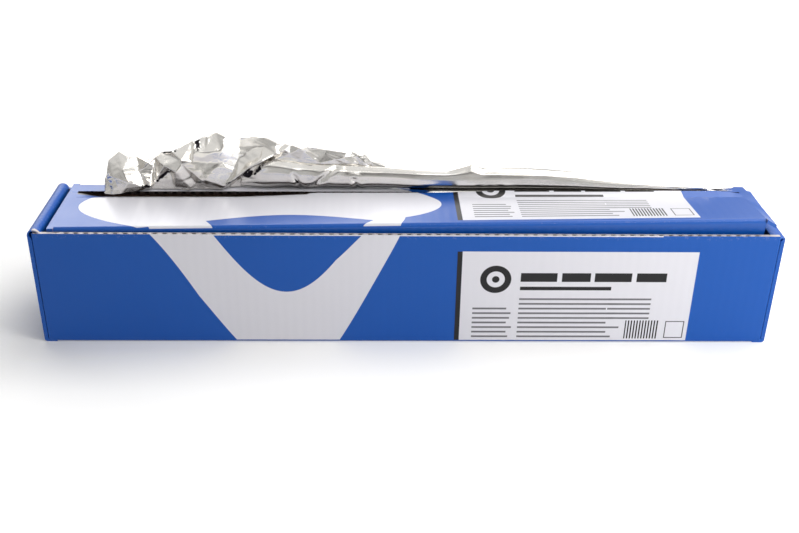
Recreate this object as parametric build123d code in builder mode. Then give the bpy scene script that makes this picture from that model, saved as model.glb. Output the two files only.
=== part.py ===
from build123d import *

import os
from math import acos, atan2, cos, floor, hypot, radians, sin, tan

# Aluminium foil roll in a folded carton of corrugated board.
# X runs along the roll, the front panel faces -Y, and the floor of the carton lies on Z = 0.

# The roll
foil_width = 440.0
roll_diameter = 62.0
core_bore = 26.0
core_wall = 2.0
core_overhang = 0.5
winding_gap = 0.1
roll_seat = 0.1
turn_steps = 2
turn_step_height = 0.5

# The corrugated board, with its two liners and the wave between them
board = 2.5
liner = 0.3
wave = 0.3
flute_pitch = 6.1
flute_depth = 4.0
flute_end_margin = 4.0
fold_radius = 2.0
standing_fold_radius = 0.7
fold_gap = 0.25
crushed_board = 0.8

# Room round the roll inside the carton
end_play = 9.0
side_play = 2.5
head_room = 13.5

# The carton's walls
front_lip_rise = 1.0
cut_edge_setback = 0.25
corner_flap_length = 29.0
corner_flap_top_gap = 4.0
strip_spring_drop = 0.6
left_strip_crest = 3.3
right_strip_crest = 0.0
crush_length = 2.5

# The lid, which sits askew: shifted to the right and lifted at its front right corner
lid_gap = 0.3
lid_left_gap = 3.5
lid_right_overlap = 2.0
lid_front_gap = 0.8
front_lift = 8.5
corner_droop = 3.8
lid_fold_radius = 2.4
tuck_length = 20.0
tuck_lean = 8.0
tuck_left_inset = 4.0
tuck_right_inset = 6.5
slot_from_hinge = 13.5
slot_width = 2.6
slot_left_inset = 6.0
lip_bend_width = 8.0
# Height of the free lip in front of the slot against the lid's plane: (share of the slot's length, height)
lip_shape = (
    (0, -0.1),
    (0.036, -2.7),
    (0.236, -2.7),
    (0.3596, 0.1),
    (0.5393, 0.4),
    (0.6382, 1.9),
    (0.964, 1.9),
    (1, 0.1),
)

# The foil that is pulled up through the slot
foil_thickness = 0.3
foil_clearance = 0.3
foil_left_inset = 28.0
foil_right_inset = 8.5
web_left_share = 0.48
web_right_share = 0.963
crumple_pitch = 6.0
tube_pitch = 10.0
foil_arch_places = 14
arch_start_angle = -50.0
arch_end_angle = 236.0
arch_foot = 0.8
point_step = 0.1
lip_passage = 1.0
crumple_start_share = 0.29
crumple_end_share = 0.425
left_end_forward = 6.0
left_end_run = 22.0
tube_ridge = 0.45
# (share of the foil's length, height of the crest above the lid at its hinge)
crest_shape = (
    (0, 13.0),
    (0.0059, 19.0),
    (0.0225, 27.0),
    (0.0343, 23.5),
    (0.0793, 23.5),
    (0.0911, 27.0),
    (0.1385, 35.5),
    (0.1787, 41.5),
    (0.2047, 36.5),
    (0.2331, 37.5),
    (0.2686, 33.5),
    (0.3254, 30.5),
    (0.3846, 28.0),
    (0.4107, 26.5),
    (0.4438, 18.0),
    (0.5479, 16.0),
    (0.5811, 18.5),
    (0.6071, 16.5),
    (0.7041, 16.0),
    (0.7538, 14.5),
    (0.8178, 9.5),
    (0.884, 6.8),
    (0.9574, 5.4),
    (1, 2.2),
)
# (share of the foil's length, width of the foil from front to rear)
width_shape = (
    (0, 9.0),
    (0.0272, 13.0),
    (0.7041, 13.0),
    (0.7538, 11.5),
    (0.8178, 8.0),
    (0.884, 5.5),
    (0.9574, 4.0),
    (1, 2.4),
)
# Folds of the crumpled part: direction across the sheet in degrees, length, depth and start
crumple_folds = (
    (24.0, 37.0, 1.7, 0.15),
    (-38.0, 29.0, 1.6, 0.40),
    (71.0, 23.0, 1.1, 0.75),
    (-9.0, 51.0, 1.4, 0.30),
    (49.0, 17.0, 0.7, 0.85),
)

# Sizes that follow from these
core_diameter = core_bore + 2 * core_wall
core_length = foil_width + 2 * core_overhang
roll_radius = roll_diameter / 2
roll_z = board + roll_seat + roll_radius
inner_end = core_length / 2 + end_play
outer_end = inner_end + 3 * board + 2 * fold_gap
flap_face = outer_end - board - fold_gap
half_depth = roll_radius + side_play + board
front_inner = half_depth - board
wall_top = board + roll_diameter + head_room
front_top = wall_top + front_lip_rise

hinge_y = half_depth
lid_under = wall_top + lid_gap
lid_left = -(inner_end - lid_left_gap)
lid_right = inner_end + lid_right_overlap
lid_front = -(front_inner - lid_front_gap)
tuck_left = lid_left + tuck_left_inset
tuck_right = lid_right - tuck_right_inset
slot_left = lid_left + slot_left_inset
slot_right = tuck_right
slot_y = hinge_y - slot_from_hinge
lip_y = slot_y - slot_width / 2
rear_lip_y = slot_y + slot_width / 2
foil_rear = hinge_y - 0.5
foil_left = -(inner_end - foil_left_inset)
foil_right = inner_end - foil_right_inset


def flute_triangle():
    """One open flute: its base lies along one liner and its tip touches the wave beside the other."""
    base = board / 2 - liner
    tip = -(board / 2 - liner - wave)
    half = 0.44 * flute_pitch
    return [(-half, base), (half, base), (0, tip)]


def cut_flutes(plane, length):
    """Opens both rows of flutes in a cut edge: the plane lies on the edge, X along it, Y across the board."""
    count = int((length - 2 * flute_end_margin) // flute_pitch)
    with BuildSketch(plane) as flutes:
        with GridLocations(flute_pitch, 0, count, 1):
            Polygon(*flute_triangle(), align=None)
        with Locations((flute_pitch / 2, 0)):
            with GridLocations(flute_pitch, 0, count - 1, 1):
                Polygon(*flute_triangle(), align=None, rotation=180)
    extrude(flutes.sketch, amount=-flute_depth, mode=Mode.SUBTRACT)


def end_wall(side, crest):
    """An end wall: outer panel, strip rolled over the top and inner panel, in one folded section."""
    spring = wall_top - strip_spring_drop
    shoulder = spring - crush_length
    middle = (outer_end + inner_end) / 2
    with BuildSketch(Plane.XZ) as section:
        with BuildLine():
            Line((side * outer_end, 0), (side * outer_end, spring))
            ThreePointArc(
                (side * outer_end, spring),
                (side * middle, wall_top + crest),
                (side * inner_end, spring),
            )
            Polyline(
                (side * inner_end, spring),
                (side * inner_end, board + fold_gap),
                (side * (inner_end + board), board + fold_gap),
                (side * (inner_end + board), shoulder),
                (side * (inner_end + crushed_board), spring),
            )
            ThreePointArc(
                (side * (inner_end + crushed_board), spring),
                (side * middle, wall_top + crest - crushed_board),
                (side * (outer_end - crushed_board), spring),
            )
            Polyline(
                (side * (outer_end - crushed_board), spring),
                (side * (outer_end - board), shoulder),
                (side * (outer_end - board), board),
                (side * inner_end, board),
                (side * inner_end, 0),
                (side * outer_end, 0),
            )
        make_face()
        outer_foot = section.vertices().sort_by_distance((side * outer_end, 0, 0))[0]
        fillet(outer_foot, radius=fold_radius)
    extrude(section.sketch, amount=half_depth - cut_edge_setback, both=True)


def corner_flap(side, facing):
    """A corner flap, folded in from the front or rear panel and held inside an end wall."""
    height = wall_top - corner_flap_top_gap - board - fold_gap
    x = side * (flap_face - board / 2)
    y = facing * (front_inner - corner_flap_length / 2)
    with Locations((x, y, board + fold_gap + height / 2)):
        Box(board, corner_flap_length, height)


def lift(x):
    """How far the lid's front edge stands above its hinge edge, which makes the panel twist."""
    return front_lift * (x - lid_left) / (lid_right - lid_left)


def lid_top(x, y):
    """Height of the lid's flat upper side."""
    return lid_under + board + lift(x) * (hinge_y - y) / (hinge_y - lid_front)


def along_shape(shape, share):
    """The value of a line through points (share of a length, value)."""
    for (s0, v0), (s1, v1) in zip(shape, shape[1:]):
        if share <= s1:
            return v0 + (v1 - v0) * max(0.0, share - s0) / (s1 - s0)
    return shape[-1][1]


def lip_height(x):
    """How far the slot's free lip stands above the lid's plane, or below it."""
    return along_shape(lip_shape, (x - slot_left) / (slot_right - slot_left))


def panel_outline(x, sag=0.0):
    """Upper side of the lid's panel from the hinge to the front, at one place along the roll."""
    bend_y = lip_y - lip_bend_width
    return [
        (hinge_y, lid_top(x, hinge_y)),
        (rear_lip_y, lid_top(x, rear_lip_y)),
        (lip_y, lid_top(x, lip_y) + lip_height(x)),
        (bend_y, lid_top(x, bend_y)),
        (lid_front, lid_top(x, lid_front) - sag),
    ]


def panel_section(x, sag=0.0):
    """The lid's panel alone, where no tuck flap hangs from it."""
    upper = panel_outline(x, sag)
    lower = [(y, z - board) for y, z in reversed(upper)]
    with BuildSketch(Plane.YZ.offset(x)) as section:
        Polygon(*upper, *lower, align=None)
    return section.sketch


def tuck_section(x):
    """The lid's panel with its tuck flap: the fold is round outside, and the flap leans inwards."""
    upper = panel_outline(x)
    fold_y, fold_z = upper[-1]
    lean = radians(tuck_lean)
    down = (sin(lean), -cos(lean))
    across = (cos(lean), sin(lean))
    foot = (fold_y + tuck_length * down[0], fold_z + tuck_length * down[1])
    inner_foot = (foot[0] + board * across[0], foot[1] + board * across[1])
    inner_fold_z = fold_z - board
    inner_fold_y = fold_y + board / cos(lean) + board * tan(lean)
    lower = [(y, z - board) for y, z in reversed(upper[:-1])]
    with BuildSketch(Plane.YZ.offset(x)) as section:
        Polygon(*upper, foot, inner_foot, (inner_fold_y, inner_fold_z), *lower, align=None)
        corners = section.vertices()
        fold = corners.sort_by_distance((fold_y, fold_z))[0]
        hinge = corners.sort_by_distance((hinge_y, lid_top(x, hinge_y)))[0]
        fillet([fold, hinge], radius=lid_fold_radius)
    return section.sketch


def rear_lip_plane():
    """Plane on the slot's rear cut edge, tilted with the lid, X along the edge and Y across the board."""
    middle = (slot_left + slot_right) / 2
    climb = lid_top(slot_right, rear_lip_y) - lid_top(slot_left, rear_lip_y)
    height = lid_top(middle, rear_lip_y) - board / 2
    return Plane(
        origin=(middle, rear_lip_y, height),
        x_dir=(1, 0, climb / (slot_right - slot_left)),
        z_dir=(0, -1, 0),
    )


def blend(a, b, share):
    """A value between a and b, eased at both ends."""
    s = max(0.0, min(1.0, share))
    s = s * s * (3 - 2 * s)
    return a + (b - a) * s


def roll_tangent(y, z):
    """The point where foil that comes from (y, z) meets the front of the wound roll."""
    reach = hypot(y, z - roll_z)
    radius = roll_radius + foil_clearance
    angle = atan2(z - roll_z, y) + acos(radius / reach)
    return radius * cos(angle), roll_z + radius * sin(angle)


# The carton: floor, front and rear panels in one girth, then the end walls
with BuildPart() as carton:
    with BuildSketch(Plane.YZ) as girth:
        Polygon(
            (-half_depth, front_top),
            (-half_depth, 0),
            (half_depth, 0),
            (half_depth, wall_top),
            (front_inner, wall_top),
            (front_inner, board),
            (-front_inner, board),
            (-front_inner, front_top),
            align=None,
        )
        fillet(girth.vertices().group_by(Axis.Y)[0], radius=fold_radius)
    extrude(amount=flap_face, both=True)
    standing = carton.edges().filter_by(Axis.Z)
    corners = standing.group_by(Axis.X)[0] + standing.group_by(Axis.X)[-1]
    outer_corners = corners.filter_by(lambda e: abs(e.center().Y) > half_depth - board / 2)
    fillet(outer_corners, radius=standing_fold_radius)
    end_wall(-1, left_strip_crest)
    end_wall(1, right_strip_crest)
    for end_side in (-1, 1):
        for facing_side in (-1, 1):
            corner_flap(end_side, facing_side)
    front_edge = Plane(origin=(0, -half_depth + board / 2, front_top), x_dir=(1, 0, 0), z_dir=(0, 0, 1))
    cut_flutes(front_edge, 2 * inner_end)
carton.part.label = "carton"

# The lid: a twisted panel with a long slot, and a tuck flap at its front
with BuildPart() as lid:
    stations = [tuck_left] + [slot_left + share * (slot_right - slot_left) for share, _ in lip_shape]
    for near, far in zip(stations, stations[1:]):
        loft([tuck_section(near), tuck_section(far)], ruled=True)
    loft([panel_section(lid_left), panel_section(tuck_left)], ruled=True)
    loft([panel_section(tuck_right), panel_section(lid_right, corner_droop)], ruled=True)
    slot_length = slot_right - slot_left
    with Locations(((slot_left + slot_right) / 2, slot_y, lid_under)):
        Box(slot_length, slot_width, 8 * board, mode=Mode.SUBTRACT)
    cut_flutes(rear_lip_plane(), slot_length)
lid.part.label = "lid"

# The core tube, along X
with BuildPart() as core:
    with BuildSketch(Plane.YZ):
        with Locations((0, roll_z)):
            Circle(core_diameter / 2)
            Circle(core_bore / 2, mode=Mode.SUBTRACT)
    extrude(amount=core_length / 2, both=True)
core.part.label = "core"

# The wound foil: its turns step in a little towards the core at both ends
with BuildPart() as foil_roll:
    bore_radius = core_diameter / 2 + winding_gap
    ring = (roll_radius - bore_radius) / (turn_steps + 1)
    with BuildSketch(Plane.XY) as half_section:
        with BuildLine():
            outline = [(0, bore_radius)]
            for step in range(turn_steps + 1):
                end_x = foil_width / 2 - turn_step_height * (turn_steps - step) / turn_steps
                outline.append((end_x, bore_radius + ring * step))
                outline.append((end_x, bore_radius + ring * (step + 1)))
            outline.append((0, roll_radius))
            Polyline(*outline, close=True)
        make_face()
        mirror(about=Plane.YZ)
    revolve(axis=Axis.X)
foil_roll.part = foil_roll.part.moved(Location((0, 0, roll_z)))
foil_roll.part.label = "foil_roll"

# The pulled-up foil: crumpled at the left, a flattened tube that runs out to the right


def zigzag(t):
    """A wave of straight flanks between -1 and 1, with its period at 1."""
    return 4 * abs(t - floor(t + 0.5)) - 1


def roughness(share):
    """1 where the foil is crumpled, 0 where it is a smooth tube."""
    return blend(1.0, 0.0, (share - crumple_start_share) / (crumple_end_share - crumple_start_share))


def fold_depth(x, along):
    """How far the folds push the sheet outwards, at a place along the roll and along the sheet's path."""
    depth = 0.0
    for direction, length, height, start in crumple_folds:
        turn = radians(direction)
        depth += height * zigzag((x * cos(turn) + along * sin(turn)) / length + start)
    return depth


def foil_section(share):
    """Points of one section of the foil, from the roll up through the slot, round and down in front."""
    x = foil_left + share * (foil_right - foil_left)
    ground = lid_top(x, slot_y)
    rise = lid_under + board + along_shape(crest_shape, share) - ground
    width = along_shape(width_shape, share)
    rough = roughness(share)
    forward = left_end_forward * blend(1.0, 0.0, (x - foil_left) / left_end_run)
    middle_y = slot_y + foil_clearance + width / 2 - forward
    neck_z = lid_under - foil_clearance
    tangent_y, tangent_z = roll_tangent(slot_y, neck_z)
    points = [
        (tangent_y, tangent_z),
        ((tangent_y + slot_y) / 2, (tangent_z + neck_z) / 2),
        (slot_y, neck_z),
        (slot_y + foil_clearance, ground + lip_passage),
    ]
    floor_sine = -sin(radians(arch_start_angle))
    for place in range(foil_arch_places):
        part = place / (foil_arch_places - 1)
        angle = radians(arch_start_angle + (arch_end_angle - arch_start_angle) * part)
        free = min(1.0, 5 * part) * rough
        ridge = tube_ridge * zigzag(part * 5) * (1 - rough) * min(1.0, rise / 12)
        out = free * fold_depth(x, part * 95.0) + ridge
        level = (sin(angle) + floor_sine) / (1 + floor_sine)
        y = middle_y + (width / 2 + out) * cos(angle)
        z = ground + arch_foot + (rise - arch_foot) * level + min(0.0, out) * sin(angle)
        margin = point_step * min(place, foil_arch_places - 1 - place)
        points.append((min(y, foil_rear - margin), max(z, ground + arch_foot + margin)))
    return [Vector(x, y, z) for y, z in points]


def foil_shares():
    """Where the foil's sections stand along its length: close together where it is crumpled."""
    length = foil_right - foil_left
    crumpled = round(crumple_end_share * length / crumple_pitch)
    smooth = round((1 - crumple_end_share) * length / tube_pitch)
    shares = [crumple_end_share * i / crumpled for i in range(crumpled)]
    return shares + [crumple_end_share + (1 - crumple_end_share) * i / smooth for i in range(smooth + 1)]


def thickened(grid):
    """The far side of the foil: every point moved along the surface's normal by the foil's thickness."""
    last_column = len(grid) - 1
    last_place = len(grid[0]) - 1
    offset = []
    for i, row in enumerate(grid):
        moved = []
        for j, point in enumerate(row):
            along = grid[min(i + 1, last_column)][j] - grid[max(i - 1, 0)][j]
            up = grid[i][min(j + 1, last_place)] - grid[i][max(j - 1, 0)]
            moved.append(point + up.cross(along).normalized() * foil_thickness)
        offset.append(moved)
    return offset


def triangle(a, b, c):
    return Face(Wire.make_polygon([a, b, c], close=True))


def foil_solid():
    """The foil as one closed solid with flat facets; only its right part reaches down through the slot."""
    shares = foil_shares()
    near = [foil_section(share) for share in shares]
    far = thickened(near)
    web_rows = len(near[0]) - foil_arch_places
    facets = []
    rim = set()
    for i in range(len(near) - 1):
        in_web = web_left_share <= shares[i] and shares[i + 1] <= web_right_share
        for j in range(0 if in_web else web_rows, len(near[0]) - 1):
            corners = [(i, j), (i + 1, j), (i + 1, j + 1), (i, j + 1)]
            for side in (near, far):
                a, b, c, d = [side[m][n] for m, n in corners]
                facets += [triangle(a, b, c), triangle(a, c, d)]
            rim ^= {frozenset(pair) for pair in zip(corners, corners[1:] + corners[:1])}
    for edge in rim:
        (i, j), (k, m) = sorted(edge)
        facets += [
            triangle(near[i][j], near[k][m], far[k][m]),
            triangle(near[i][j], far[k][m], far[i][j]),
        ]
    return Solid(Shell(facets))


with BuildPart() as foil_sheet:
    add(foil_solid())
foil_sheet.part.label = "foil_sheet"

os.makedirs("parts", exist_ok=True)
export_step(carton.part, "parts/carton.step")
export_step(lid.part, "parts/lid.step")
export_step(core.part, "parts/core.step")
export_step(foil_roll.part, "parts/foil_roll.step")
export_step(foil_sheet.part, "parts/foil_sheet.step")
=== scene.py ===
import math
import random

import bpy
import numpy as np
from mathutils import Matrix, Vector
from mathutils.geometry import delaunay_2d_cdt


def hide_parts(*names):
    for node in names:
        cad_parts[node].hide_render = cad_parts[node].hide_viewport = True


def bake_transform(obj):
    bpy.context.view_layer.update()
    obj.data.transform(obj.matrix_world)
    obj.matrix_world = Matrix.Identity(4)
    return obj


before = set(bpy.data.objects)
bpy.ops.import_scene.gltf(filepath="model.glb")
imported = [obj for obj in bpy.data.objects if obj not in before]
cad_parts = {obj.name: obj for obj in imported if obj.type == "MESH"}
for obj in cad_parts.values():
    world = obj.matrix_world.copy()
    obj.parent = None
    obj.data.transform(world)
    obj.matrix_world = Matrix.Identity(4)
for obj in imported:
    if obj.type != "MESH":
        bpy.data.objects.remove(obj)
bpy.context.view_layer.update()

# Aluminium foil in its dispenser carton. X runs along the roll, the front panel faces -Y, and Z is up.
# Sizes are in millimetres, apart from those of the lamps and the floor, which are in metres.

MM = 0.001

# Sizes of the carton and its lid, as in the part's source
CARTON_END = 237.5
CARTON_SIDE = 36.0
INNER_END = 229.5
INNER_SIDE = 33.5
BOARD = 2.5
FRONT_TOP = 79.0
CUT_EDGE_END = 234.0
FLUTE_PITCH = 6.1
HINGE_Y = 36.0
LID_HEIGHT = 80.8
LID_LEFT = -226.0
LID_FRONT = -32.7
LID_LENGTH = 457.5
FRONT_LIFT = 8.5
SLOT_Y = 22.5
# How much the lid rises for each millimetre to the right and each millimetre from the hinge
LID_TWIST = FRONT_LIFT / LID_LENGTH / (HINGE_Y - LID_FRONT)


class Value:
    """A number in a material: Python's operators on it add Math nodes."""

    def __init__(self, paint, socket):
        self.paint = paint
        self.socket = socket

    def __add__(self, other):
        return self.paint.calculate("ADD", self, other)

    def __sub__(self, other):
        return self.paint.calculate("SUBTRACT", self, other)

    def __rsub__(self, other):
        return self.paint.calculate("SUBTRACT", other, self)

    def __mul__(self, other):
        return self.paint.calculate("MULTIPLY", self, other)

    def __truediv__(self, other):
        return self.paint.calculate("DIVIDE", self, other)

    def __neg__(self):
        return self * -1.0

    def sine(self):
        return self.paint.calculate("SINE", self)

    def size(self):
        return self.paint.calculate("ABSOLUTE", self)

    def root(self):
        return self.paint.calculate("SQRT", self)

    def least(self, other):
        return self.paint.calculate("MINIMUM", self, other)

    def most(self, other):
        return self.paint.calculate("MAXIMUM", self, other)

    def whole(self):
        return self.paint.calculate("FLOOR", self)

    def distance(self, other):
        """The longest side of a right triangle whose other sides are these two."""
        return (self * self + other * other).root()

    def clamp(self):
        return self.most(0.0).least(1.0)

    def step(self, edge, width):
        """0 below the edge and 1 above it, over a narrow band."""
        return ((self - edge) / width + 0.5).clamp()


class Paint:
    """The nodes of one material, or of the world."""

    def __init__(self, owner):
        self.owner = owner
        owner.use_nodes = True
        self.tree = owner.node_tree
        self.tree.nodes.clear()

    def put(self, socket, value):
        """Links a socket to a value, or sets it to a constant."""
        if isinstance(value, Value):
            self.tree.links.new(value.socket, socket)
        elif isinstance(value, bpy.types.NodeSocket):
            self.tree.links.new(value, socket)
        else:
            socket.default_value = value

    def node(self, kind, settings=None, **inputs):
        """A node of that kind: its settings first, then the values or links of its sockets."""
        made = self.tree.nodes.new(kind)
        for key, value in (settings or {}).items():
            setattr(made, key, value)
        for key, value in inputs.items():
            self.put(made.inputs[key.replace("_", " ")], value)
        return made

    def calculate(self, operation, *values):
        """The result of a Math node on these values."""
        made = self.node("ShaderNodeMath", {"operation": operation})
        for socket, value in zip(made.inputs, values):
            self.put(socket, value)
        return Value(self, made.outputs[0])

    def coordinates(self, kind):
        found = self.node("ShaderNodeTexCoord")
        split = self.node("ShaderNodeSeparateXYZ", Vector=found.outputs[kind])
        return [Value(self, split.outputs[axis]) for axis in "XYZ"]

    def place(self):
        """Object coordinates in millimetres."""
        return [value / MM for value in self.coordinates("Object")]

    def facing(self):
        """The surface's normal in the object's own axes."""
        return self.coordinates("Normal")

    def rays(self):
        """1 for the rays that the camera sends out, and 1 for those that a glossy surface mirrors."""
        path = self.node("ShaderNodeLightPath")
        return [Value(self, path.outputs[name]) for name in ("Is Camera Ray", "Is Glossy Ray")]

    def noise(self, scale, detail=2.0, roughness=0.5, stretch=(1, 1, 1)):
        """Noise over object coordinates: scale counts its cells per metre."""
        found = self.node("ShaderNodeTexCoord")
        mapped = self.node("ShaderNodeMapping", Vector=found.outputs["Object"], Scale=stretch)
        made = self.node(
            "ShaderNodeTexNoise",
            Vector=mapped.outputs["Vector"],
            Scale=scale,
            Detail=detail,
            Roughness=roughness,
        )
        return Value(self, made.outputs["Fac"])

    def mix(self, share, first, second):
        """A colour between two colours."""
        made = self.node("ShaderNodeMix", {"data_type": "RGBA"}, Factor=share, A=first, B=second)
        return made.outputs["Result"]

    def bump(self, height, strength, distance):
        made = self.node("ShaderNodeBump", Height=height, Strength=strength, Distance=distance)
        return made.outputs["Normal"]

    def finish(self, **inputs):
        """The Principled shader and the material's output."""
        shader = self.node("ShaderNodeBsdfPrincipled", None, **inputs)
        self.node("ShaderNodeOutputMaterial", Surface=shader.outputs["BSDF"])
        return self.owner


def new_paint(name):
    return Paint(bpy.data.materials.new(name))


def colour(red, green, blue):
    """A colour given as it is seen, 0 to 255, in the linear values that shaders take."""
    seen = [part / 255 for part in (red, green, blue)]
    linear = [c / 12.92 if c <= 0.04045 else ((c + 0.055) / 1.055) ** 2.4 for c in seen]
    return (*linear, 1.0)


PRINT_BLUE = colour(18, 87, 178)
PRINT_WHITE = colour(232, 231, 238)
PRINT_BLACK = colour(28, 27, 30)
LINER_WHITE = colour(222, 218, 218)
KRAFT = colour(172, 134, 98)
FLUTE_DARK = colour(84, 54, 42)
# Near black for painted shade: in the lid's slot and down in the flutes of the front's cut edge
PAINTED_SHADE_BLACK = colour(20, 16, 18)
CORE_DARK = colour(134, 104, 78)
CORE_LIGHT = colour(176, 146, 112)
FOIL_DULL = colour(238, 233, 225)
FOIL_BRIGHT = colour(248, 246, 242)
# Near black foil colour, used as painted shade under the pulled foil and in its deep folds
FOIL_PAINTED_SHADE = colour(38, 35, 40)

# The print's fields are laid out on the flat blank: heights run up the front panel and on over the lid.
# Each wave has its ends along the roll, and the middle, swing and half the thickness of its line.
WAVE_LENGTH = 196.0
WAVE_TROUGH = -78.0
WAVE_TAPER = 44.0
LOW_WAVE = ((-178.0, -2.0), 55.0, -48.0, 31.0)
HIGH_WAVE = ((-214.0, 22.0), 121.0, 8.0, 33.0)
LABEL_LEFT, LABEL_RIGHT = 34.0, 184.5
LABEL_LOW, LABEL_HIGH = -1.0, 67.6
LABEL_FRONT_EDGE = -26.0
BAR_WIDTH = 3.2
# The label's marks: a rectangle is left, right, low and high, with heights from the label's lower edge
RING_X, RING_HEIGHT = 56.0, 47.5
RING_RADIUS, RING_WIDTH, DOT_RADIUS = 10.0, 4.2, 2.4
HEADING = (72.0, 166.0, 45.8, 52.2)
HEADING_GAPS = ((95.5, 98.5), (117.0, 119.6), (143.5, 146.6))
SECOND_HEADING = (72.0, 131.0, 39.6, 42.2)
ROWS_LOW, ROWS_HIGH, ROW_PITCH = 3.0, 34.5, 3.55
MAIN_ROWS_LEFT, MAIN_ROWS_RIGHT = 72.0, 134.0
SMALL_ROWS_LEFT, SMALL_ROWS_RIGHT, SMALL_ROWS_HIGH = 42.0, 66.0, 27.0
WIDE_ROWS = (130.0, 158.0, 17.0, 34.5)
RAGGED_SWING = 5.0
HATCH = (143.0, 165.0, 3.0, 17.0)
HATCH_PITCH = 1.9
EMPTY_FRAME = (169.5, 182.0, 3.5, 16.5)
FRAME_LINE = 0.6
# Where the front panel's print stops short of its top edge: left, right
BARE_LINE = (-150.0, 160.0)


def band(value, low, high, soft=0.25):
    """1 between low and high."""
    return value.step(low, soft) * (1.0 - value.step(high, soft))


def rectangle(x, height, left, right, low, high):
    return band(x, left, right) * band(height, low, high)


def wave_field(x, height, ends, centre, swing, thickness):
    """1 inside a broad white wave that narrows to a tip at both ends."""
    left_end, right_end = ends
    open_share = ((x - left_end) / WAVE_TAPER).least((right_end - x) / WAVE_TAPER).clamp()
    along = (x - WAVE_TROUGH).most(-WAVE_LENGTH / 2).least(WAVE_LENGTH / 2)
    turns = along * (2 * math.pi / WAVE_LENGTH) + math.pi / 2
    line = turns.sine() * swing + centre
    inside = open_share.root() * thickness - (height - line).size()
    return inside.step(0.0, 0.4) * band(x, left_end, right_end, 0.1)


def white_fields(x, height):
    """The two waves of the print: one dips down the front panel, one lies along the lid."""
    return wave_field(x, height, *LOW_WAVE).most(wave_field(x, height, *HIGH_WAVE))


def label_marks(x, height):
    """Dark marks of the label: a ring and plain bars, and fine rows of lines, with no lettering."""
    distance = (x - RING_X).distance(height - RING_HEIGHT)
    ring = band(distance, RING_RADIUS - RING_WIDTH, RING_RADIUS)
    dot = 1.0 - distance.step(DOT_RADIUS, 0.25)
    heading = rectangle(x, height, *HEADING)
    for left, right in HEADING_GAPS:
        heading = heading * (1.0 - band(x, left, right))
    second = rectangle(x, height, *SECOND_HEADING)
    stripes = x / HATCH_PITCH
    hatch = band(stripes - stripes.whole(), 0.2, 0.68, 0.08) * rectangle(x, height, *HATCH)
    left, right, low, high = EMPTY_FRAME
    hollow = rectangle(x, height, left + FRAME_LINE, right - FRAME_LINE, low + FRAME_LINE, high - FRAME_LINE)
    box = rectangle(x, height, *EMPTY_FRAME) * (1.0 - hollow)
    solid = (ring + dot + heading + second + hatch + box).clamp()

    rows = (height - ROWS_LOW) / ROW_PITCH
    lines = band(rows - rows.whole(), 0.25, 0.62, 0.05) * band(height, ROWS_LOW, ROWS_HIGH)
    ragged = (rows.whole() * 2.4).sine() * RAGGED_SWING
    main_block = x.step(MAIN_ROWS_LEFT, 0.2) * (1.0 - (x + ragged).step(MAIN_ROWS_RIGHT, 0.2))
    small_block = x.step(SMALL_ROWS_LEFT, 0.2) * (1.0 - (x + ragged * 0.4).step(SMALL_ROWS_RIGHT, 0.2))
    small_block = small_block * band(height, ROWS_LOW, SMALL_ROWS_HIGH)
    fine = (lines * (main_block + small_block + rectangle(x, height, *WIDE_ROWS))).clamp()
    return solid, fine


def artwork(paint, x, height, label_height):
    """The print on one panel: blue ground, white fields, and the white label with its dark marks."""
    ground = paint.mix(white_fields(x, height), PRINT_BLUE, PRINT_WHITE)
    label = rectangle(x, label_height, LABEL_LEFT, LABEL_RIGHT, LABEL_LOW, LABEL_HIGH)
    bar = rectangle(x, label_height, LABEL_LEFT - BAR_WIDTH, LABEL_LEFT, LABEL_LOW, LABEL_HIGH)
    solid, fine = label_marks(x, label_height)
    ground = paint.mix(label, ground, PRINT_WHITE)
    ground = paint.mix(bar, ground, PRINT_BLACK)
    ground = paint.mix(solid * label, ground, PRINT_BLACK)
    return paint.mix(fine * label * 0.8, ground, PRINT_BLACK)


def board_bump(paint, x):
    """The faint washboard of the flutes under the liner, and the paper's own unevenness."""
    flutes = (x * (2 * math.pi / FLUTE_PITCH)).sine()
    paper = paint.noise(900.0, 3.0)
    broad = paint.noise(14.0, 2.0)
    return paint.bump(flutes * 0.35 + paper * 0.2 + broad * 4.0, 0.35, 0.12 * MM)


def print_wear(paint, printed, edges):
    """Print rubbed through to the pale liner in specks along the folds and cut edges."""
    specks = paint.noise(620.0, 4.0, 0.62).step(0.60, 0.05)
    return paint.mix(specks * edges * 0.08, printed, LINER_WHITE)


def raw_edge(paint):
    """Cut board: torn brown fibres, darker down in the flutes."""
    return paint.mix(paint.noise(2600.0, 3.0, 0.7), FLUTE_DARK, KRAFT)


def front_edge(paint, z):
    """The front panel's cut edge: pale paper of the liners and the wave, and painted shade, near black, down
    in the flutes.
    """
    # Painted shade: below the top the flutes go near black
    depth = (FRONT_TOP + 1.0 - z).step(1.5, 0.6)
    paper = paint.mix(paint.noise(2600.0, 3.0, 0.7) * 1.3 + 0.1, KRAFT, LINER_WHITE)
    return paint.mix(depth, paper, PAINTED_SHADE_BLACK)


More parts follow.
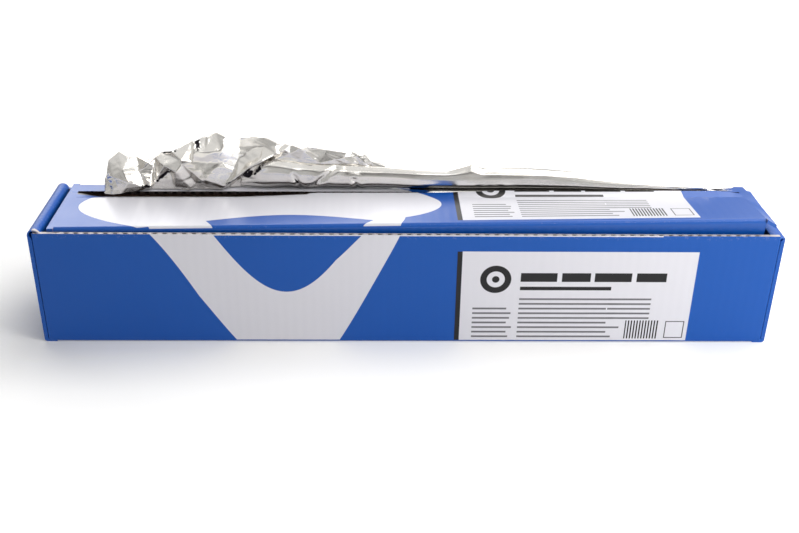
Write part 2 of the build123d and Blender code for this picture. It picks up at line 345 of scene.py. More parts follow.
def carton_paint():
    """Print outside, bare liner inside, and cut edges with pale liners and painted shade down in the flutes.
    """
    paint = new_paint("printed_carton")
    x, y, z = paint.place()
    nx, ny, nz = paint.facing()
    end = x.size()
    before_end = 1.0 - end.step(CUT_EDGE_END, 0.1)
    outside = (1.0 - y.step(0.03 - CARTON_SIDE, 0.02)) * (1.0 - ny.step(-0.5, 0.1))
    printed = paint.mix(outside, PRINT_BLUE, artwork(paint, x, z, z))
    bare_line = outside * band(x, *BARE_LINE) * z.step(FRONT_TOP - 0.7, 0.1)
    printed = paint.mix(bare_line, printed, PRINT_WHITE)
    inside = band(y, -INNER_SIDE - 0.1, INNER_SIDE + 0.1) * band(z, BOARD - 0.1, FRONT_TOP - 0.5)
    printed = paint.mix(inside * (1.0 - end.step(INNER_END - 0.1, 0.1)), printed, KRAFT)
    flute_row = band(y, 0.25 - CARTON_SIDE, -INNER_SIDE - 0.25, 0.05) * z.step(FRONT_TOP - 5.0, 0.1)
    printed = paint.mix(flute_row * before_end, printed, front_edge(paint, z))
    # The pale liners beside the flutes, along the front and rear edges but not on the rolled-over ends
    liners = 1.0 - band(y, 0.28 - CARTON_SIDE, -INNER_SIDE - 0.28, 0.04)
    rim = nz.step(0.9, 0.05) * z.step(FRONT_TOP - 0.1, 0.05) * liners
    front_reach = (1.0 - y.step(0.1 - INNER_SIDE, 0.05)) * before_end
    rim_reach = (1.0 - end.step(INNER_END - 0.6, 0.1)).most(front_reach)
    printed = paint.mix(rim * rim_reach, printed, LINER_WHITE)
    upright = (1.0 - (ny.size() - 0.5).step(0.3, 0.1)) * (1.0 - (nx.size() - 0.5).step(0.3, 0.1))
    corners = end.step(CARTON_END - 1.5, 1.5) * y.size().step(CARTON_SIDE - 1.7, 1.5)
    edges = z.step(FRONT_TOP - 2.5, 3.0).most(corners).most(upright * 0.4)
    return paint.finish(
        Base_Color=print_wear(paint, printed, edges.clamp()),
        Roughness=paint.noise(60.0, 3.0) * 0.10 + 0.33,
        Specular_IOR_Level=0.30,
        Normal=board_bump(paint, x),
    )


def lid_paint():
    """The same print carried over the fold to the lid, and bare liner underneath."""
    paint = new_paint("printed_lid")
    x, y, z = paint.place()
    nx, ny, nz = paint.facing()
    upper = nz.step(0.5, 0.1)
    tuck = 1.0 - ny.step(-0.5, 0.1)
    rear_fold = ny.step(0.5, 0.1) * y.step(HINGE_Y - 3.0, 0.1)
    blank_height = y + (FRONT_TOP - LID_FRONT)
    top = paint.mix(upper, PRINT_BLUE, artwork(paint, x, blank_height, y - LABEL_FRONT_EDGE))
    printed = paint.mix((upper + tuck + rear_fold).clamp(), KRAFT, top)
    printed = paint.mix(nx.size().step(0.8, 0.1), printed, raw_edge(paint))
    # Painted shade in the slot: its walls, and the flutes that open there between the two liners, get the
    # brown cut board darkened nearly to black
    slot_walls = band(y, SLOT_Y - 1.5, SLOT_Y + 1.5, 0.02) * ny.size().step(0.8, 0.1)
    below_top = (HINGE_Y - y) * (x - LID_LEFT) * LID_TWIST + LID_HEIGHT - z
    in_board = band(y, SLOT_Y - 3.5, SLOT_Y + 5.7, 0.05) * band(below_top, 0.12, BOARD - 0.12, 0.06)
    shaded_cut_board = paint.mix(0.93, raw_edge(paint), PAINTED_SHADE_BLACK)
    printed = paint.mix(slot_walls.most(in_board), printed, shaded_cut_board)
    slot_rims = band(y, SLOT_Y - 3.0, SLOT_Y + 3.0, 1.5)
    edges = (1.0 - y.step(LID_FRONT + 1.2, 2.0)).most(slot_rims).most(x.size().step(224.0, 3.0))
    return paint.finish(
        Base_Color=print_wear(paint, printed, edges * upper),
        Roughness=paint.noise(60.0, 3.0) * 0.10 + 0.25,
        Specular_IOR_Level=0.5,
        Normal=board_bump(paint, x),
    )


def core_paint():
    """Wound grey-brown board."""
    paint = new_paint("wound_core_board")
    fibres = paint.noise(500.0, 4.0, 0.7, (0.2, 1, 1))
    return paint.finish(
        Base_Color=paint.mix(fibres, CORE_DARK, CORE_LIGHT),
        Roughness=0.85,
        Normal=paint.bump(fibres, 0.3, 0.2 * MM),
    )


# Painted shade, as dark patches of the foil's colour, in deep narrow folds on the foil's front: middle along
# the roll, height above the lid at its hinge, half the length, half the width, lean in degrees
CREVICE_SHADE_PATCHES = (
    (-138.8, 33.6, 3.2, 1.5, -49.0),
    (-159.1, 26.4, 7.8, 0.8, 22.0),
    (-162.8, 10.7, 6.2, 1.2, 41.0),
    (-113.6, 9.7, 7.5, 1.3, 28.0),
    (-106.7, 11.1, 3.6, 1.9, 31.0),
    (-99.5, 14.7, 4.5, 1.1, 44.0),
    (-73.9, 7.1, 2.2, 0.6, -54.0),
    (-138.2, 7.5, 3.4, 0.8, 23.0),
    (-173.7, 4.5, 4.0, 0.7, 14.0),
)


def painted_crevice_shade(paint, x, y, height):
    """1 in the painted shade of the deep narrow folds: ragged patches that lie on the front layer alone."""
    ragged = (paint.noise(420.0, 3.0, 0.6) - 0.5) * 2.8
    inside = None
    for place, rise, half_length, half_width, lean in CREVICE_SHADE_PATCHES:
        cos_lean, sin_lean = math.cos(math.radians(lean)), math.sin(math.radians(lean))
        along = ((x - place) * cos_lean + (height - rise) * sin_lean) / half_length
        across = ((height - rise) * cos_lean - (x - place) * sin_lean) / half_width
        # Each patch is painted shade, darkening the foil's colour
        crevice_shade = 1.0 - (along.distance(across) + ragged).step(1.0, 0.25)
        inside = crevice_shade if inside is None else inside.most(crevice_shade)
    return inside * (1.0 - y.step(32.6, 0.4))


def foil_paint(name, wrinkle, roughness, paints_shade):
    """Rolled aluminium: bright, a little milky, with faint lines along the web and tiny dents, and on the
    pulled foil painted shade.
    """
    paint = new_paint(name)
    lines = paint.noise(700.0, 2.0, 0.5, (0.03, 1.0, 1.0))
    fine = paint.noise(330.0, 3.0, 0.6)
    broad = paint.noise(70.0, 2.0, 0.5)
    cells = paint.node(
        "ShaderNodeTexVoronoi",
        {"feature": "DISTANCE_TO_EDGE"},
        Vector=paint.node("ShaderNodeTexCoord").outputs["Object"],
        Scale=120.0,
    )
    x, y, z = paint.place()
    # Sharp little creases where the sheet is crumpled
    creased = (1.0 - x.step(-85.0, 40.0)) * wrinkle
    creases = Value(paint, cells.outputs["Distance"]).least(0.10) * creased * 14.0
    metal = paint.mix(broad, FOIL_DULL, FOIL_BRIGHT)
    if paints_shade:
        # Painted shade: what faces down is darkened in place of the shade between foil and lid that it
        # mirrors, most along the tube and least at its tip
        _, _, nz = paint.facing()
        shade = x.step(-92.0, 20.0) * 0.5 + 0.35 - x.step(150.0, 25.0) * 0.6
        painted_underside_shade = ((-nz - 0.05) / 0.65).clamp() * shade
        painted_shade = painted_underside_shade.most(painted_crevice_shade(paint, x, y, z - LID_HEIGHT))
        metal = paint.mix(painted_shade, metal, FOIL_PAINTED_SHADE)
    return paint.finish(
        Base_Color=metal,
        Metallic=1.0,
        Roughness=fine * 0.08 + roughness,
        Normal=paint.bump(lines * 0.3 + fine * wrinkle + creases, 0.4, 0.10 * MM),
    )


def dress(name, material):
    """Gives a carried-over solid its material."""
    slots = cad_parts[name].data.materials
    slots.clear()
    slots.append(material)


# The pulled-up foil, in the shape of its solid. A crumpled sheet stands at the left and runs on behind a
# flattened tube, which comes out of it and tapers to the right.
FOIL_LEFT, FOIL_RIGHT = -201.5, 221.0
SHEET_RIGHT = -11.0
TUBE_LEFT = -112.0
WEB_LEFT, WEB_RIGHT = 2.0, 205.0
SHEET_COLUMNS, SHEET_ROWS = 330, 96
TUBE_COLUMNS, TUBE_ROWS = 220, 56
SHEET_THICKNESS = 0.06
# The way round each of them, from one edge of the sheet to the other, and where the sheet's crest is on it
SHEET_PATH = 90.0
TUBE_PATH = 46.0
CREST_SHARE = 0.42
FOOT = 0.6
FOIL_REAR = 35.6
# The room between the sheet's front and rear where they close up, and the least room between them
LAYER_GAP, LEAST_LAYER_GAP = 0.5, 0.4
# How far above the lid each part of the foil stays
SHEET_LID_GAP, TUBE_LID_GAP, WEB_LID_GAP = 0.5, 0.35, 0.15
# How far the folds of the sheet's rear push it in and out, at the right and further at the left
REAR_ROOM, LEFT_REAR_ROOM = 1.4, 3.4
# How far the sheet's smaller folds and the tube's facets push the foil in and out
SECOND_PUSH, SMALL_PUSH = 0.35, 0.22
TUBE_WIDE_PUSH, TUBE_FINE_PUSH = 0.18, 0.10
# The tube's section starts under it and runs round by its rear, in degrees
TUBE_START, TUBE_TURN = -90.0, 345.0
# Left of the first place the sheet's end is torn, and right of the second the tube's end is
TORN_LEFT, TORN_RIGHT = -190.0, 192.0
# The web's way from the roll to the slot, front to rear and up; its last point is put on the lid
ROLL_TANGENT = (-10.9, 63.2)
WEB_PATH = (ROLL_TANGENT, (-2.0, 66.5), (6.5, 69.6), (15.0, 72.8), (SLOT_Y, 75.6), (SLOT_Y + 0.3, 0.0))
WEB_ROWS = len(WEB_PATH)
# Random facets: spacing, lean in radians, stretch along the lean, seed
REAR_FACETS = (8.5, 0.7, 1.9, 61)
SECOND_FACETS = (6.5, -0.5, 1.5, 23)
SMALL_FACETS = (3.4, 0.4, 1.8, 37)
TUBE_FINE_FACETS = (3.0, 0.15, 3.6, 71)
TUBE_WIDE_FACETS = (6.0, -0.2, 2.6, 83)
# (place along the roll, height of the sheet's crest above the lid at its hinge)
SHEET_CREST = (
    (-201.5, 9.0), (-199.9, 14.0), (-198.8, 21.0), (-191.7, 26.0), (-186.7, 23.2), (-179.5, 22.8),
    (-168.0, 22.0), (-163.2, 24.5), (-143.2, 33.0), (-133.5, 36.7), (-126.3, 40.2), (-120.5, 38.6),
    (-111.0, 35.6), (-103.0, 35.8), (-95.6, 35.0), (-82.2, 31.0), (-71.2, 29.5), (-64.7, 29.8), (-53.0, 26.9),
    (-37.7, 25.3), (-31.0, 23.4), (-27.6, 24.2), (-22.9, 19.2), (-12.2, 16.0), (-11.0, 15.0),
)
# (place along the roll, height of the tube's top above the lid at its hinge)
TUBE_TOP = (
    (-112.0, 15.0), (-97.0, 20.4), (-88.0, 21.0), (-78.0, 20.0), (-70.0, 18.8), (-58.0, 17.8), (-45.0, 17.1),
    (-18.0, 16.3), (9.0, 15.5), (34.0, 15.0), (48.0, 15.3), (62.0, 15.6), (82.0, 15.4), (96.0, 14.6),
    (117.0, 12.8), (125.0, 11.4), (144.0, 9.2), (158.0, 8.6), (172.0, 7.2), (190.0, 6.4), (203.0, 6.2),
    (212.0, 5.4), (221.0, 4.2),
)
# (place along the roll, width of the tube from front to rear)
TUBE_WIDTH = (
    (-112.0, 9.0), (-97.0, 11.0), (-78.0, 12.6), (96.0, 12.6), (117.0, 11.5), (144.0, 8.0), (172.0, 5.5),
    (203.0, 4.0), (221.0, 2.4),
)
# Pinches in the tube: (place, share of the way round) at both ends, depth
TUBE_PINCHES = (
    ((-47.0, 0.60), (-65.0, 0.93), 1.7),
    ((-75.5, 0.76), (-71.0, 0.97), 1.3),
    ((-35.5, 0.78), (-32.5, 0.97), 1.5),
    ((-92.0, 0.52), (-104.0, 0.70), 1.6),
)
# A small peak on the tube's top: (place along the roll, height)
TUBE_PEAK = ((28.0, 0.0), (40.0, 3.2), (43.5, 4.4), (45.5, 3.0), (51.0, 0.0))
# Corners of the folds on the sheet's front: place along the roll, depth, height above the lid at its hinge
FRONT_FOLDS = (
    (-199.9, 24, 13.9), (-199.8, 23, 8.5), (-198.8, 27, 20.9), (-196, 17, 0.2), (-195.2, 20, 12.3),
    (-191.7, 30, 25.8), (-190.2, 18.5, 0.7), (-188.2, 21, 16.5), (-186.7, 28, 23), (-186.3, 21.5, 0.1),
    (-184.6, 18, 9.2), (-183.2, 23, 24.3), (-182.5, 19.5, 10.2), (-179.5, 30, 22.6), (-177.9, 25, -0.7),
    (-177.9, 25, 14.4), (-176.2, 22.5, 3.4), (-175.6, 24, 4.9), (-172.7, 26, -0.4), (-171.2, 21, 5),
    (-169.7, 20, 22.3), (-169, 27, 4.6), (-168, 31, 21.8), (-163.2, 33, 24.3), (-162.8, 26, -0.8),
    (-161.2, 23, 18.7), (-158.3, 26.5, 15.1), (-155.7, 26, 0.5), (-153.1, 19, 16.3), (-150.5, 23, 23.6),
    (-149, 18.5, 24.7), (-148.6, 21, 20.8), (-145.2, 24, 3.5), (-143.2, 34, 32.6), (-141.9, 26.5, 1.6),
    (-141.6, 20.5, 22.7), (-141.5, 26, 5.4), (-141.1, 27, 31.8), (-140.2, 21, 31.4), (-137.4, 21, 22),
    (-135.9, 19, 10.1), (-133.7, 18.5, 11), (-133.5, 32, 36.3), (-132.8, 21, 29.4), (-132.5, 26, 2.1),
    (-131.4, 28, 37.5), (-130.2, 20, 15.2), (-126.3, 30, 39.9), (-124.8, 25, 0.9), (-123.9, 22.5, 21.5),
    (-122.9, 23, 30.1), (-121.6, 21, 5.3), (-120.6, 27, 38), (-120.3, 29, 0.8), (-113.8, 20.5, 12.1),
    (-112.6, 31, 7), (-116, 25, 14), (-112, 28.5, 22.2), (-110.9, 31.5, 35.1), (-104.9, 21, 18.4),
    (-107, 26.5, 20), (-103.5, 31, 13.3), (-102.5, 33.5, 35.5), (-103, 32, 28), (-96.4, 33, 28.8),
    (-96.2, 22, 23), (-98.5, 27.5, 24.5), (-95.6, 34.8, 34.8), (-94.5, 31, 18.8),
    (-87.9, 31, 30.7), (-87.6, 27, 26), (-85.7, 31, 22.4), (-82.2, 33, 30.9), (-81, 29.5, 28.1),
    (-78.3, 30.5, 24.5), (-77.1, 32.5, 30.8), (-71.7, 30.5, 22), (-71.2, 29, 29.4), (-68.8, 30, 26.5),
    (-66.2, 31, 29.4), (-64.7, 28, 29.9), (-63.9, 32, 28.1), (-58.4, 30, 18.7), (-53, 33, 26.9),
    (-41.6, 30.5, 22.9), (-37.7, 34, 25.3), (-33.6, 32, 23), (-28.3, 30, 18.8), (-27.6, 33.5, 25),
    (-22.9, 31.5, 19), (-14.9, 29.5, 15.9), (-12.2, 30, 16),
    (-112, 31, 0), (-95, 31, 8), (-75, 31, 8), (-50, 31, 8), (-30, 31, 8), (-12, 31, 8),
    (-95, 31, 0), (-75, 31, 0), (-50, 31, 0), (-30, 31, 0), (-12, 31, 0),
)


def along_shape(shape, x):
    """The value of a line through points (place along the roll, value), for an array of places."""
    return np.interp(x, [place for place, _ in shape], [value for _, value in shape])


def lid_top(x, y):
    """Height of the twisted lid's upper side."""
    return LID_HEIGHT + (x - LID_LEFT) * (HINGE_Y - y) * LID_TWIST


def eased(share):
    """0 to 1, eased at both ends."""
    share = np.clip(share, 0.0, 1.0)
    return share * share * (3.0 - 2.0 * share)


def zigzag(t):
    """A wave of straight flanks between -1 and 1, with its period at 1."""
    return 4.0 * np.abs(t - np.floor(t + 0.5)) - 1.0


def flat_facets(corners, values, across, up):
    """Values at (across, up) on the flat triangles that join the corners, as a creased sheet has them."""
    u, v = across.ravel(), up.ravel()
    found = delaunay_2d_cdt([Vector(corner) for corner in corners], [], [], 0, 1e-6)
    points = [(point.x, point.y) for point in found[0]]
    origin = [ids[0] for ids in found[3]]
    result = np.zeros(u.shape)
    for a, b, c in found[2]:
        (ax, ay), (bx, by), (cx, cy) = points[a], points[b], points[c]
        area = (bx - ax) * (cy - ay) - (cx - ax) * (by - ay)
        if abs(area) < 1e-9:
            continue
        low_u, high_u = min(ax, bx, cx), max(ax, bx, cx)
        low_v, high_v = min(ay, by, cy), max(ay, by, cy)
        near = np.nonzero((u >= low_u) & (u <= high_u) & (v >= low_v) & (v <= high_v))[0]
        pu, pv = u[near], v[near]
        share_b = ((pu - ax) * (cy - ay) - (cx - ax) * (pv - ay)) / area
        share_c = ((bx - ax) * (pv - ay) - (pu - ax) * (by - ay)) / area
        share_a = 1.0 - share_b - share_c
        inside = (share_a >= -1e-7) & (share_b >= -1e-7) & (share_c >= -1e-7)
        mixed = share_a * values[origin[a]] + share_b * values[origin[b]] + share_c * values[origin[c]]
        result[near[inside]] = mixed[inside]
    return result.reshape(across.shape)


def random_facets(u, v, spacing, lean, stretch, seed):
    """Flat facets of random height between -1 and 1, longer along the direction lean."""
    draw = random.Random(seed)
    cos_lean, sin_lean = math.cos(lean), math.sin(lean)
    along = (u * cos_lean + v * sin_lean) / (spacing * stretch)
    across = (v * cos_lean - u * sin_lean) / spacing
    corners, values = [], []
    for i in range(math.floor(along.min()) - 1, math.ceil(along.max()) + 2):
        for j in range(math.floor(across.min()) - 1, math.ceil(across.max()) + 2):
            corners.append((i + draw.uniform(-0.46, 0.46) + 0.5 * (j % 2), j + draw.uniform(-0.42, 0.42)))
            values.append(draw.uniform(-1.0, 1.0))
    return flat_facets(corners, values, along, across)


def torn_edge(rows, seed):
    """How far each row of a torn edge reaches, 0 to 1: a random value every third row, and lines between."""
    draw = random.Random(seed)
    places = np.arange(0, rows + 6, 3)
    return np.interp(np.arange(rows), places, [draw.random() for _ in places])


def front_depth(x, height):
    """Depth of the crumpled front at these places, on flat facets between the corners of its folds."""
    corners = [(place, rise) for place, _, rise in FRONT_FOLDS]
    depths = [float(depth) for _, depth, _ in FRONT_FOLDS]
    # A frame of corners round the folds, so that the facets cover the whole front
    for place, crest in SHEET_CREST:
        corners.append((place, crest + 7.0))
        depths.append(32.0)
    for place in range(-210, 1, 12):
        corners.append((float(place), -9.0))
        depths.append(25.0 if place < -115 else 31.0)
    corners += [(-212.0, 0.0), (-212.0, 14.0), (-212.0, 40.0), (6.0, 30.0), (6.0, 8.0)]
    depths += [20.0, 23.0, 29.0, 32.0, 31.0]
    return flat_facets(corners, depths, x, height)


def sheet_points():
    """The crumpled sheet: rows run from its rear foot over the crest and down the front."""
    columns = np.linspace(FOIL_LEFT, SHEET_RIGHT, SHEET_COLUMNS)
    x, part = np.meshgrid(columns, np.linspace(0.0, 1.0, SHEET_ROWS), indexing="ij")
    is_front = part >= CREST_SHARE
    front_share = np.clip((part - CREST_SHARE) / (1.0 - CREST_SHARE), 0.0, 1.0)
    rear_share = np.clip(part / CREST_SHARE, 0.0, 1.0)
    foot_z = lid_top(x, SLOT_Y) + FOOT
    crest_z = LID_HEIGHT + along_shape(SHEET_CREST, x)
    front_z = crest_z + (foot_z - crest_z) * front_share
    rear_z = foot_z + (crest_z - foot_z) * np.sin(rear_share * math.pi / 2)
    z = np.where(is_front, front_z, rear_z)
    depth = front_depth(x, z - LID_HEIGHT)
    crest_depth = front_depth(columns, along_shape(SHEET_CREST, columns))[:, None]

    # The rear bulges out from the crest, in folds of its own, and closes up to the front at the left end
    belly = np.cos(rear_share * math.pi / 2) ** 0.5
    closing = eased((x - FOIL_LEFT) / 16.0)
    rear_y = np.maximum(crest_depth + (FOIL_REAR - 0.6 - crest_depth) * belly, depth + LAYER_GAP)
    rear_y = depth + LAYER_GAP + (rear_y - depth - LAYER_GAP) * closing
    rear_room = REAR_ROOM + (LEFT_REAR_ROOM - REAR_ROOM) * (1.0 - eased((x + 134.0) / 18.0))
    rear_push = (random_facets(x, part * SHEET_PATH, *REAR_FACETS) - 0.15) * rear_room
    rear_y = rear_y + rear_push * np.sin(math.pi * rear_share) ** 0.5 * closing
    y = np.where(is_front, depth, np.maximum(rear_y, depth + LEAST_LAYER_GAP))

    # Smaller folds push all of it in and out, across the sheet
    second = random_facets(x, part * SHEET_PATH, *SECOND_FACETS)
    small = random_facets(x, part * SHEET_PATH, *SMALL_FACETS)
    bound = np.sin(math.pi * np.clip(part, 0.04, 0.96)) ** 0.4 * closing
    across_y, across_z = np.gradient(y, axis=1), np.gradient(z, axis=1)
    length = np.hypot(across_y, across_z) + 1e-9
    push = (second * SECOND_PUSH + small * SMALL_PUSH) * bound * np.where(is_front, 1.0, 1.5)
    y = y + push * across_z / length
    z = z - push * across_y / length
    x = x + second * 0.5 * bound
    reach = 0.92 + 0.08 * torn_edge(SHEET_ROWS, 5)
    x = np.where(x < TORN_LEFT, TORN_LEFT + (x - TORN_LEFT) * reach, x)
    y = np.minimum(y, FOIL_REAR + 1.4)
    z = np.maximum(z, lid_top(x, y) + SHEET_LID_GAP)
    return x, y, z


def segment_distance(x, part, first, second):
    """Distance in millimetres to a line on the tube between two points (place, share of the way round)."""
    ax, ay = first[0], first[1] * TUBE_PATH
    bx, by = second[0], second[1] * TUBE_PATH
    px, py = x, part * TUBE_PATH
    along = ((px - ax) * (bx - ax) + (py - ay) * (by - ay)) / ((bx - ax) ** 2 + (by - ay) ** 2)
    along = np.clip(along, 0.0, 1.0)
    return np.hypot(px - ax - along * (bx - ax), py - ay - along * (by - ay))


def tube_points():
    """The flattened tube: rows run from under it to its rear, over its top and down its front."""
    columns = np.linspace(TUBE_LEFT, FOIL_RIGHT, TUBE_COLUMNS)
    x, part = np.meshgrid(columns, np.linspace(0.0, 1.0, TUBE_ROWS), indexing="ij")
    ground = lid_top(x, SLOT_Y)
    top_z = LID_HEIGHT + along_shape(TUBE_TOP, x)
    width = along_shape(TUBE_WIDTH, x)
    middle_z = (ground + FOOT + top_z) / 2
    half_height = (top_z - ground - FOOT) / 2
    middle_y = SLOT_Y + 0.2 + width / 2 + 1.6 * (1.0 - eased((x + 20.0) / 30.0))
    angle = np.radians(TUBE_START + TUBE_TURN * part)
    across, up = np.cos(angle), np.sin(angle)

    # Ridges that run along the tube and drift a little round it, and the pinches
    drift = 0.10 * np.sin(x / 61.0) + 0.04 * np.sin(x / 17.0)
    ridge = 0.22 * zigzag(part * 5.3 + drift) + 0.10 * zigzag(part * 11.5 - 1.6 * drift + x / 420.0)
    ridge += 0.10 * zigzag(part * 3.0 + x / 57.0) * np.sin(x / 39.0)
    ridge *= np.minimum(1.0, half_height / 5.0)
    for first, second, deep in TUBE_PINCHES:
        away = segment_distance(x, part, first, second)
        dent = np.exp(-((away / 1.1) ** 2))
        raised_sides = 0.35 * np.exp(-(((away - 3.0) / 1.8) ** 2))
        ridge -= deep * (dent - raised_sides)
    y = middle_y + (width / 2 + ridge) * across
    z = middle_z + (half_height + ridge * 0.8) * up
    z = z + along_shape(TUBE_PEAK, x) * np.exp(-(((part - 0.55) / 0.09) ** 2))
    # The left end is tucked in behind the sheet's front
    y = y + 4.0 * (1.0 - eased((x - TUBE_LEFT) / 17.0))

    # Small facets, rougher at the left, at the torn right tip and most of all in the hidden left end
    fine = random_facets(x, part * TUBE_PATH, *TUBE_FINE_FACETS)
    wide = random_facets(x, part * TUBE_PATH, *TUBE_WIDE_FACETS)
    rough = 0.25 + 0.75 * (1.0 - eased((x + 75.0) / 30.0)) + 2.2 * eased((x - 172.0) / 22.0)
    rough += 3.2 * (1.0 - eased((x - TUBE_LEFT) / 20.0))
    push = (fine * TUBE_FINE_PUSH + wide * TUBE_WIDE_PUSH) * rough
    y = y + push * across
    z = z + push * up
    reach = 0.45 + 0.55 * torn_edge(TUBE_ROWS, 8)
    x = np.where(x > TORN_RIGHT, TORN_RIGHT + (x - TORN_RIGHT) * reach, x)
    y = np.minimum(y, FOIL_REAR - 3.0 * (1.0 - eased((x - SHEET_RIGHT + 2.0) / 8.0)))
    z = np.maximum(z, lid_top(x, y) + TUBE_LID_GAP)
    return columns, x, y, z


def web_points(columns):
    """The web from the roll up through the slot, to where the tube begins."""
    way = np.array(WEB_PATH)
    x = np.repeat(columns[:, None], WEB_ROWS, axis=1)
    y = np.repeat(way[None, :, 0], len(columns), axis=0)
    z = np.repeat(way[None, :, 1], len(columns), axis=0)
    z[:, -1] = lid_top(columns, SLOT_Y) + WEB_LID_GAP
    z[:, 1:4] += 0.25 * np.sin(columns / 13.0)[:, None]
    # Towards its left end the web's upper rows come down into the slot
    whole = np.clip((columns - WEB_LEFT) / 14.0, 0.0, 1.0)[:, None]
    z[:, 4:] -= (1.0 - whole) * np.array([0.6, 7.0])
    return x, y, z


def placed_grid(name, x, y, z, unused=None):
    """A grid whose points are put in place; points marked unused are cut away."""
    columns, rows = x.shape
    bpy.ops.object.select_all(action="DESELECT")
    bpy.ops.mesh.primitive_grid_add(x_subdivisions=columns - 1, y_subdivisions=rows - 1, size=1.0)
    made = bpy.context.object
    made.name = name
    flat = np.empty(len(made.data.vertices) * 3)
    made.data.vertices.foreach_get("co", flat)
    flat = flat.reshape(-1, 3)
    column = np.rint((flat[:, 0] + 0.5) * (columns - 1)).astype(int)
    row = np.rint((flat[:, 1] + 0.5) * (rows - 1)).astype(int)
    place = np.stack([x[column, row], y[column, row], z[column, row]], axis=1) * MM
    made.data.vertices.foreach_set("co", place.ravel())
    if unused is not None:
        bpy.ops.object.mode_set(mode="EDIT")
        bpy.ops.mesh.select_mode(type="VERT")
        bpy.ops.mesh.select_all(action="DESELECT")
        bpy.ops.object.mode_set(mode="OBJECT")
        made.data.vertices.foreach_set("select", unused[column, row])
        bpy.ops.object.mode_set(mode="EDIT")
        bpy.ops.mesh.delete(type="VERT")
        bpy.ops.object.mode_set(mode="OBJECT")
    return made


def make_foil():
    """The foil as thin sheet: the crumpled part and the tube with its web, joined, thickened and shaded."""
    sheet = placed_grid("crumpled_sheet", *sheet_points())
    columns, *tube = tube_points()
    x, y, z = [np.hstack(pair) for pair in zip(web_points(columns), tube)]
    row = np.arange(x.shape[1])[None, :]
    unused = (row < WEB_ROWS) & ((x < WEB_LEFT) | (x > WEB_RIGHT))
    foil = placed_grid("pulled_foil", x, y, z, unused)
    sheet.select_set(True)
    foil.select_set(True)
    bpy.context.view_layer.objects.active = foil
    bpy.ops.object.join()
    bpy.ops.object.modifier_add(type="SOLIDIFY")
    foil.modifiers[-1].thickness = SHEET_THICKNESS * MM
    foil.modifiers[-1].offset = 0.0
    bpy.ops.object.modifier_apply(modifier=foil.modifiers[-1].name)
    bpy.ops.object.shade_smooth()
    foil.data.materials.append(foil_paint("pulled_foil", 0.5, 0.20, True))
    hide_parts("foil_sheet")
    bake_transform(foil)


# The photograph's camera, fitted to the carton's corners: turned left, looking down, and rolled, in degrees
CAMERA_PLACE = (-20.2, -621.3, 375.3)
CAMERA_TURN, CAMERA_DOWN, CAMERA_ROLL = 1.414, 28.554, 0.859
CAMERA_SENSOR, CAMERA_LENS = 36.0, 47.31
# Soft light from above, glare on the lid from the left rear, and two weaker lamps at the front, in metres and
# watts: name, place, what it shines at, width, height, power
LAMPS = (
    ("top", (0.85, 0.40, 1.05), (0, 0, 0.05), 2.3, 1.5, 20.0),
    ("rear_glare", (-0.62, 1.25, 0.86), (-0.1, 0, 0.08), 1.5, 0.8, 8.5),
    ("front_top", (0.45, -0.62, 1.05), (0, 0, 0.05), 0.8, 0.5, 2.8),
    ("right_front", (0.70, -0.42, 0.36), (0.14, 0, 0.05), 0.35, 0.40, 3.6),
)
FLOOR_SIZE = 8.0
FLOOR_COLOUR = (0.87, 0.86, 0.84, 1.0)
# The room's light: its ceiling and its softbox as they are mirrored, and what falls on dull surfaces
CEILING, SOFTBOX, AMBIENT = 0.92, 2.5, 0.21


def make_camera():
    data = bpy.data.cameras.new("camera")
    data.sensor_width = CAMERA_SENSOR
    data.lens = CAMERA_LENS
    camera = bpy.data.objects.new("camera", data)
    bpy.context.scene.collection.objects.link(camera)
    turn = Matrix.Rotation(-math.radians(CAMERA_TURN), 4, "Z")
    turn = turn @ Matrix.Rotation(math.radians(90 - CAMERA_DOWN), 4, "X")
    turn = turn @ Matrix.Rotation(math.radians(CAMERA_ROLL), 4, "Z")
    camera.matrix_world = Matrix.Translation(Vector(CAMERA_PLACE) * MM) @ turn
    bpy.context.scene.camera = camera


def area_light(name, place, target, width, height, power):
    data = bpy.data.lights.new(name, "AREA")
    data.shape = "RECTANGLE"
    data.size = width
    data.size_y = height
    data.energy = power
    lamp = bpy.data.objects.new(name, data)
    bpy.context.scene.collection.objects.link(lamp)
    lamp.location = place
    lamp.rotation_euler = (Vector(target) - Vector(place)).to_track_quat("-Z", "Y").to_euler()


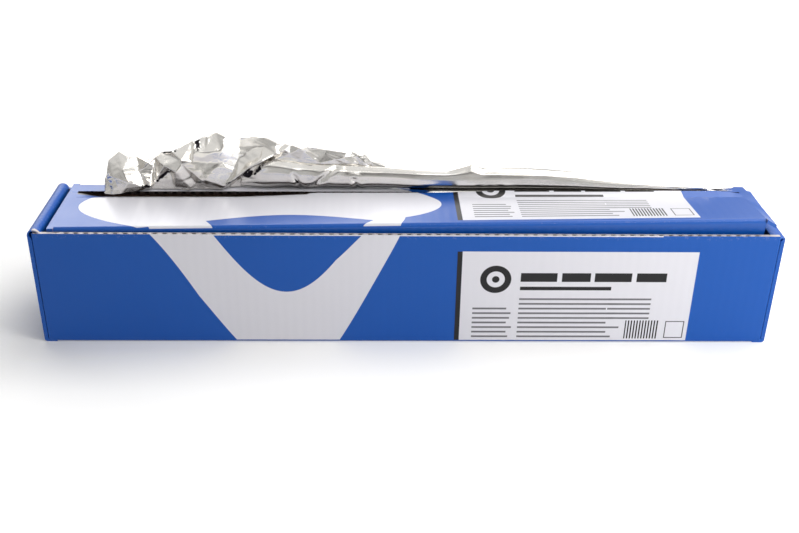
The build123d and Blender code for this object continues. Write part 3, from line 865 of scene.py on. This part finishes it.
def make_floor():
    """A white floor: it keeps the object's shadow and glows white for the camera, but less near the carton
    and beside its left end, a painted shadow there.
    """
    bpy.ops.object.select_all(action="DESELECT")
    bpy.ops.mesh.primitive_plane_add(size=FLOOR_SIZE, location=(0, 0, 0))
    floor = bpy.context.object
    floor.name = "floor"
    paint = new_paint("studio_floor")
    seen, mirrored = paint.rays()
    x, y, _ = paint.place()
    away = (x.size() - 237.0).most(0.0).distance((y.size() - CARTON_SIDE).most(0.0))
    # Added light lifts the floor to white a little way from the carton; less of it close to the carton and
    # beside its left end paints a shadow there
    near, far = ((away - 8.0) / 50.0).clamp(), ((away - 300.0) / 1200.0).clamp()
    painted_end_shadow = ((-x - 60.0) / 160.0).clamp() * (1.0 - (away / 110.0).clamp())
    glow = near * 0.20 + far * 0.6 + 0.19 - painted_end_shadow * 0.14
    diffuse = paint.node("ShaderNodeBsdfDiffuse", Color=FLOOR_COLOUR)
    emission = paint.node("ShaderNodeEmission", Color=(1, 1, 1, 1), Strength=seen * glow + mirrored * 0.2)
    both = paint.node("ShaderNodeAddShader")
    paint.put(both.inputs[0], diffuse.outputs[0])
    paint.put(both.inputs[1], emission.outputs[0])
    paint.node("ShaderNodeOutputMaterial", Surface=both.outputs[0])
    floor.data.materials.append(paint.owner)


def make_world():
    """Pale grey past the floor's edge; in reflections a bright room, darker where the photographer stood."""
    world = bpy.data.worlds.new("studio")
    bpy.context.scene.world = world
    room = Paint(world)
    seen, mirrored = room.rays()
    across, back, up = room.coordinates("Generated")
    # The darker sides of the room, up to some height; the bright right side ends the front one
    right = across.step(0.45, 0.35) * up.step(0.30, 0.30)
    front = (1.0 - back.step(0.05, 0.5)) * (1.0 - up.step(0.66, 0.30)) * (1.0 - right)
    left = (-across).step(0.70, 0.35) * (1.0 - up.step(0.6, 0.3))
    rear = back.step(0.35, 0.4) * (1.0 - up.step(0.55, 0.3))
    # A dark middle in front, and a softbox at the rear left
    core = (1.0 - (across + 0.02).size().step(0.22, 0.16)) * (1.0 - (up - 0.44).size().step(0.13, 0.12))
    core = core * (1.0 - back.step(-0.3, 0.2))
    off_softbox = (across + 0.36).size().step(0.42, 0.12) + (up - 0.48).size().step(0.20, 0.16)
    softbox = (1.0 - off_softbox.clamp()) * back.step(0.4, 0.3)
    shade = (front * 0.34).most(left * 0.40).most(rear * 0.52).most(core * 0.88)
    reflected = CEILING - shade + softbox * SOFTBOX
    lit = mirrored * reflected + (1.0 - mirrored) * AMBIENT
    background = room.node("ShaderNodeBackground", Strength=seen + (1.0 - seen) * lit)
    room.node("ShaderNodeOutputWorld", Surface=background.outputs[0])


bpy.context.scene.view_settings.view_transform = "Standard"
make_camera()
make_floor()
make_world()
for lamp in LAMPS:
    area_light(*lamp)
dress("carton", carton_paint())
dress("lid", lid_paint())
dress("core", core_paint())
dress("foil_roll", foil_paint("wound_foil", 0.1, 0.22, False))
make_foil()
